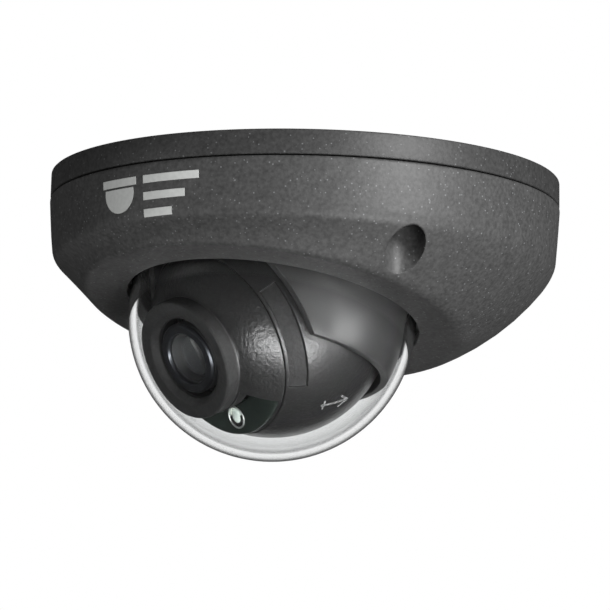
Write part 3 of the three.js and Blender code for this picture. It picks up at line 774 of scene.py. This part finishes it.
class DOMECAM_OT_liner(bpy.types.Operator):
    """Turns the smooth shell that hides the gimbal and opens its window for the lens"""

    bl_idname = "domecam.liner"
    bl_label = "Liner"

    def execute(self, context):
        shell = turned([*arc(LINER_RADIUS, LINER_HEM, 0, 10), (LINER_RADIUS, 10.4), (31.8, 10.4),
                        (31.8, 12), (LINER_INNER, 12), *arc(LINER_INNER, 0, LINER_HEM, 10)],
                       radius=0.25, steps=144)
        # The window is cut by all that lies in front of one plane and below another.
        beyond = move(bar(90, 90, 90, 0, -11 - 45, 0), Matrix.Rotation(radians(41), 4, "X"))
        below = bar(90, 90, 90, 0, 0, 8.8 - 45)
        carve(shell, carve(beyond, below, how="INTERSECT"))
        bevelled(shell, 0.35, 3, 40)
        move(shell, LINER)
        settle(shell, "gimbal_liner", FINISHES["liner"], "pan_carrier", "inner_liner",
               slot="liner_plastic", angle=30)
        return {"FINISHED"}


# ---------------------------------------------------------------- ball and lens
class DOMECAM_OT_ball(bpy.types.Operator):
    """Turns the camera ball, with a finger pocket on each side and a raised arrow"""

    bl_idname = "domecam.ball"
    bl_label = "Camera ball"

    def execute(self, context):
        shell = turned([*arc(BALL_RADIUS, 15.3, BALL_REAR, 40),
                        *arc(BALL_INNER, BALL_REAR, 13.2, 24), (17.8, 13.6), (17.8, 15.3)],
                       radius=0.2, steps=144)
        move(shell, FORWARD)
        for start in (-40, 158):
            # The floor of the pocket follows the ball, 0.5 mm below its surface.
            pocket = turned([*arc(BALL_RADIUS - 0.5, 11.4, 14.8, 6), (30, 14.8), (30, 11.4)],
                            radius=0, steps=40, angle=radians(62), start=radians(start))
            carve(shell, move(pocket, FORWARD))
        carve(shell, move(rod(2.1, -30, 30, sides=32), Matrix.Rotation(radians(90), 4, "Y")))
        bevelled(shell, 0.14, 2, 50)
        settle(move(shell, BALL), "ball_body", FINISHES["ball"], "ball", "ball_shell",
               slot="ball_finish", angle=35)
        # A raised arrow below one pocket shows which way the ball turns; its light grey is a painted
        # highlight, the black plastic lightened to stand in for the glints on its strokes.
        strokes = [(6.4, 0, 0, 0), (2.4, -2.6, 0, 90), (2.6, 2.3, 0.8, -38), (2.6, 2.3, -0.8, 38)]
        arrow = []
        for length, along, across, slant in strokes:
            crust = turned([*arc(BALL_RADIUS + 0.16, -5, 5, 10), *arc(BALL_RADIUS - 0.1, 5, -5, 10)],
                           radius=0, steps=96)
            stroke = move(bar(8, length, 0.42), Matrix.Rotation(radians(slant), 4, "X"))
            move(stroke, Matrix.Translation((BALL_RADIUS * MM, along * MM, across * MM)))
            arrow.append(carve(crust, stroke, how="INTERSECT"))
        arrow = joined(*arrow)
        round_ball = Matrix.Rotation(radians(54), 4, "Y") @ Matrix.Rotation(radians(-11), 4, "Z")
        move(arrow, BALL @ round_ball)
        settle(arrow, "ball_arrow", FINISHES["worn"], "ball", slot="ball_finish")
        cap = turned([(0, -12.3), (21.3, -12.3), (20.2, -14), (0, -14)],
                     closed=False, radius=0.4, steps=96)
        move(cap, FORWARD)
        carve(cap, bar(12, 6, 3, 0, 13, 0))
        settle(move(cap, BALL), "ball_cap", FINISHES["black"], "ball", "ball_rear_cover",
               slot="black_plastic")
        return {"FINISHED"}


class DOMECAM_OT_front(bpy.types.Operator):
    """Turns the front of the ball with its lens collar, and the window round the lamp"""

    bl_idname = "domecam.front"
    bl_label = "Front shell"

    def execute(self, context):
        root = sqrt(BALL_RADIUS**2 - COLLAR_RADIUS**2)  # where the collar meets the ball
        seam = 15.45
        shell = turned([
            (9.8, 25), (12.3, 25), (COLLAR_RADIUS, 24.6), (COLLAR_RADIUS, root),
            *arc(BALL_RADIUS, root, seam, 12)[1:], (17.4, seam), (17.4, 12.6), (15.4, 12.6),
            (15.4, 17.2), (9.6, 19.8), (8.6, 20.6), (8.6, 23.9)], radius=0.3, steps=144)
        opening = turned([(12.9, LAMP_FACE), (30, LAMP_FACE), (30, 27), (12.9, 27)], radius=0,
                         steps=36, angle=WINDOW_TURN, start=WINDOW_FROM)
        carve(shell, opening)
        move(shell, FORWARD)
        settle(move(shell, LENS), "lens_collar", FINISHES["ball"], "lens_module", "front_shell",
               slot="ball_finish", angle=35)
        window = turned([(12.9, 15.75), (19.2, 15.75), (19.2, LAMP_FACE), (12.9, LAMP_FACE)],
                        radius=0.25, steps=36, angle=WINDOW_TURN, start=WINDOW_FROM)
        bevelled(carve(window, rod(2.3, 10, 30, 0, -LAMP_OFFSET)), 0.2)
        move(window, FORWARD)
        settle(move(window, LENS), "lamp_window", FINISHES["bezel"], "lens_module",
               slot="ball_finish")
        return {"FINISHED"}


class DOMECAM_OT_lens(bpy.types.Operator):
    """Turns the lens barrel, its front ring, its stop and its two front glasses"""

    bl_idname = "domecam.lens"
    bl_label = "Lens"

    def execute(self, context):
        place = LENS @ FORWARD
        barrel = turned([
            (5.2, 23.5), (7.5, 23.5), (7.5, 20.4), (5.9, 20.4), (5.9, 6), (3.6, 6), (3.6, 8.5),
            (4.6, 12), (4.6, 19), (5.2, 20.2)], radius=0.15, steps=96)
        settle(move(barrel, place), "barrel", FINISHES["black"], "lens_module", "lens_barrel",
               slot="black_plastic")
        ring_outline = [(5.6, 24.4), (7.1, 24.4), (7.5, 24), (7.5, 23.8), (5.3, 23.8)]
        settle(move(turned(ring_outline, radius=0.1, steps=120), place), "front_ring",
               FINISHES["ring"], "lens_module", "lens_front_ring", slot="black_steel")
        front = turned([(0, 23.4), (1.3, 23.3), (2.6, 23), (3.4, 22.6), (4.2, 22.1), (4.9, 21.1),
                        (4.9, 20.6), (0, 22.2)], closed=False, radius=0.1, steps=96)
        settle(move(front, place), "front_glass", FINISHES["glass"], "lens_module",
               "lens_front_glass", slot="lens_glass", angle=50)
        front.visible_shadow = False
        stop = turned([(2.1, 19.6), (4.5, 20), (4.5, 18), (2.1, 18.6)], radius=0.1, steps=72)
        settle(move(stop, place), "lens_stop", FINISHES["chip"], "lens_module", slot="black_plastic")
        inner = turned([(0, 19.3), (1.2, 19.1), (1.9, 18.7), (1.9, 17.6), (0, 17.6)],
                       closed=False, radius=0.05, steps=64)
        settle(move(inner, place), "inner_glass", FINISHES["coated"], "lens_module",
               slot="lens_glass", angle=50)
        return {"FINISHED"}


class DOMECAM_OT_lamp(bpy.types.Operator):
    """Turns the infra-red lamp: its frosted lens, the cup and chip behind it, and its ring"""

    bl_idname = "domecam.lamp"
    bl_label = "Infra-red lamp"

    def execute(self, context):
        place = LENS @ Matrix.Translation((0, 0, -LAMP_OFFSET * MM)) @ FORWARD
        face = LAMP_FACE
        lens = turned([(0, face + 0.4), (0.6, face + 0.33), (1.1, face + 0.1), (1.5, face - 0.2),
                       (1.8, face - 0.45), (1.95, face - 0.6), (0, face - 0.6)],
                      closed=False, radius=0.05, steps=64)
        settle(move(lens, place), "lamp_lens", FINISHES["epoxy"], "lens_module", "ir_led",
               slot="led_epoxy", angle=50)
        lens.visible_shadow = False
        cup = turned([(0.8, face - 1.6), (1.8, face - 0.68), (2, face - 0.68), (2, face - 1.9),
                      (0, face - 1.9), (0, face - 1.6)], closed=False, radius=0.03, steps=64)
        settle(move(cup, place), "lamp_cup", FINISHES["nylon"], "lens_module", slot="led_epoxy")
        die = bevelled(bar(0.9, 0.9, 0.3, 0, 0, face - 1.44), 0.05)
        settle(move(die, place), "lamp_chip", FINISHES["gold"], "lens_module", slot="led_epoxy")
        collar = turned([(2.06, face - 0.9), (2.06, face + 0.12), (2.2, face + 0.2),
                         (2.42, face + 0.12), (2.42, face + 0.02), (2.24, face + 0.02),
                         (2.24, face - 0.9)], radius=0.04, steps=64)
        settle(move(collar, place), "lamp_ring", FINISHES["bright"], "lens_module",
               slot="led_epoxy")
        return {"FINISHED"}


# ---------------------------------------------------------------- what is carried over
CARRIED = {
    "steel": ["dome_retainer", "pan_keeper_ring", "roll_retainer", "tilt_pin_left", "tilt_pin_right",
              "card_socket", "reset_switch", *[f"retainer_screw_{i}" for i in range(1, 5)],
              *[f"gimbal_screw_{i}" for i in range(1, 4)], *[f"board_screw_{i}" for i in range(1, 5)]],
    "can": ["capacitor_1", "capacitor_2"],
    "black": ["pan_seat_ring", "lens_holder", "lens_lock_ring", "reset_plunger", "ir_cut_carriage"],
    "nylon": ["pan_friction_ring", "tilt_washer_left", "tilt_washer_right", "lead_connector",
              "ribbon_socket"],
    "board": ["main_board", "sensor_board", "ir_led_board"],
    "chip": ["processor", "power_inductor", "memory_card", "image_sensor"],
    "rubber": ["screw_seal_1", "screw_seal_2", "screw_seal_3"],
    "dark_steel": ["filter_actuator"],
    "glass": ["lens_rear_glass"],
    "filter": ["ir_cut_filter"],
}


class DOMECAM_OT_inside(bpy.types.Operator):
    """Finishes the pieces inside the housing that keep their own shape"""

    bl_idname = "domecam.inside"
    bl_label = "Inside pieces"

    def execute(self, context):
        for look, names in CARRIED.items():
            for name in names:
                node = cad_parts[name]
                for place in node.material_slots:
                    place.material = FINISHES[look]
        return {"FINISHED"}


# ---------------------------------------------------------------- studio
class DOMECAM_OT_stage(bpy.types.Operator):
    """Sets up the pale floor, the soft lights and the camera"""

    bl_idname = "domecam.stage"
    bl_label = "Studio"

    def execute(self, context):
        scene = context.scene
        scene.view_settings.view_transform = "Standard"
        azimuth, rise, roll = radians(42), radians(-11), radians(1.2)
        back = Vector((sin(azimuth) * cos(rise), -cos(azimuth) * cos(rise), sin(rise)))
        right = Vector((cos(azimuth), sin(azimuth), 0))
        up = back.cross(right)
        distance, sensor = 4.0, 36
        per_mm, image = 4.79, 610  # steps of the image's width for each millimetre, and in all
        clear_selection()
        bpy.ops.object.camera_add()
        camera = context.object
        camera.data.sensor_width = sensor
        camera.data.lens = per_mm * distance / MM * sensor / image
        camera.data.clip_end = 100
        turn = Matrix((right, up, back)).transposed() @ Matrix.Rotation(roll, 3, "Z")
        aim = Vector((0, 0, -26.8 * MM)) + right * 0.45 * MM
        camera.matrix_world = Matrix.Translation(aim + back * distance) @ turn.to_4x4()
        scene.camera = camera

        bpy.ops.mesh.primitive_plane_add(size=60, location=(0, 0, -7))
        floor = context.object
        floor.name = "studio_floor"
        paper = finish("Matt studio paper", Base_Color=linear(0xF2F2F0), Roughness=0.9)[0]
        floor.data.materials.append(paper)
        floor.visible_glossy = floor.visible_transmission = False

        inside, outside = [bpy.data.collections.new(name) for name in LIT_BY]

        def softbox(name, across, high, near, width, height, watts, group):
            """A soft rectangular light, placed in metres as the camera sees it, for one group."""
            place = right * across + up * high + back * near
            bpy.ops.object.light_add(type="AREA", location=place)
            light = context.object
            light.name = name
            light.data.shape, light.data.size, light.data.size_y = "RECTANGLE", width, height
            light.data.energy = watts
            target = Vector((0, 0, -25 * MM))
            light.rotation_euler = (target - place).to_track_quat("-Z", "Y").to_euler()
            light.visible_camera = False
            # Sampled only as a light, it leaves no picture of itself on the polished dome.
            light.data.cycles.use_multiple_importance_sampling = False
            light.light_linking.receiver_collection = group
            if group is inside:
                light.light_linking.blocker_collection = group

        softbox("key_low", 0.56, -0.55, 0.88, 0.5, 0.4, 10, outside)
        softbox("key_high", 0.73, 0.38, 0.71, 0.35, 0.45, 12, outside)
        softbox("fill_left", -1.1, -0.2, 0.45, 0.6, 0.6, 2.4, outside)
        # The inside of the dome has two of its own: one low in front, one at the right.
        softbox("glint_front", 0.3, -0.57, 1.0, 1.35, 0.3, 23, inside)
        softbox("glint_side", 1.1, -0.2, 0.45, 0.6, 0.4, 7, inside)

        world = scene.world or bpy.data.worlds.new("Studio")
        scene.world = world
        world.use_nodes = True
        tree = world.node_tree
        tree.nodes.clear()
        # White is seen directly and through the dome. Light turned by the dome's rim comes from a
        # white card behind it with a dark centre, which draws the rim. All else is a dim room.
        path = add(tree, "ShaderNodeLightPath")
        look = add(tree, "ShaderNodeTexCoord")
        away = add(tree, "ShaderNodeVectorMath", {0: look.outputs["Generated"], 1: -back},
                   operation="DOT_PRODUCT")
        card = add(tree, "ShaderNodeMapRange", {
            "Value": away.outputs["Value"], "From Min": 0.78, "From Max": 0.86,
            "To Min": 0.02, "To Max": 1.15}, interpolation_type="SMOOTHSTEP")
        centre = add(tree, "ShaderNodeMapRange", {
            "Value": away.outputs["Value"], "From Min": 0.94, "From Max": 0.99,
            "To Min": 1.0, "To Max": 0.25})
        rim = add(tree, "ShaderNodeMath", {0: card.outputs["Result"], 1: centre.outputs["Result"]},
                  operation="MULTIPLY")

        def chosen(test, limit, below, above):
            """One of two strengths, by whether a count of bounces is over a limit."""
            over = add(tree, "ShaderNodeMath", {0: path.outputs[test], 1: limit},
                       operation="GREATER_THAN")
            return add(tree, "ShaderNodeMix", {
                "Factor": over.outputs["Value"], "A": below, "B": above},
                data_type="FLOAT").outputs["Result"]

        strength = chosen("Glossy Depth", 0.5, 1.15, rim.outputs["Value"])
        strength = chosen("Transmission Depth", 0.5, 0.04, strength)
        strength = chosen("Diffuse Depth", 0.5, strength, 0.2)
        strength = chosen("Is Camera Ray", 0.5, strength, 1.0)
        room = add(tree, "ShaderNodeBackground", {
            "Color": (1, 1, 1, 1), "Strength": strength})
        add(tree, "ShaderNodeOutputWorld", {"Surface": room.outputs[0]})
        return {"FINISHED"}


class DOMECAM_PT_panel(bpy.types.Panel):
    """Builds the camera piece by piece"""

    bl_idname = "DOMECAM_PT_panel"
    bl_label = "Dome camera"
    bl_space_type = "VIEW_3D"
    bl_region_type = "UI"
    bl_category = "Dome camera"

    def draw(self, context):
        for group in (context.scene.dome_camera_sizes, context.scene.dome_camera_colours):
            for name in group.__annotations__:
                self.layout.prop(group, name)
        for step in STEPS:
            self.layout.operator(step.bl_idname)


STEPS = (
    DOMECAM_OT_stage, DOMECAM_OT_base, DOMECAM_OT_cover, DOMECAM_OT_mark, DOMECAM_OT_screws,
    DOMECAM_OT_dome, DOMECAM_OT_liner, DOMECAM_OT_ball, DOMECAM_OT_front, DOMECAM_OT_lens,
    DOMECAM_OT_lamp, DOMECAM_OT_inside,
)
GROUPS = (DomeCameraSizes, DomeCameraColours)


def register():
    for made in (*GROUPS, *STEPS, DOMECAM_PT_panel):
        bpy.utils.register_class(made)
    bpy.types.Scene.dome_camera_sizes = PointerProperty(type=DomeCameraSizes)
    bpy.types.Scene.dome_camera_colours = PointerProperty(type=DomeCameraColours)


def unregister():
    del bpy.types.Scene.dome_camera_sizes, bpy.types.Scene.dome_camera_colours
    for made in reversed((*GROUPS, *STEPS, DOMECAM_PT_panel)):
        bpy.utils.unregister_class(made)


def main():
    register()
    make_finishes()
    for step in STEPS:
        group, name = step.bl_idname.split(".")
        getattr(getattr(bpy.ops, group), name)()


if __name__ == "__main__":
    main()
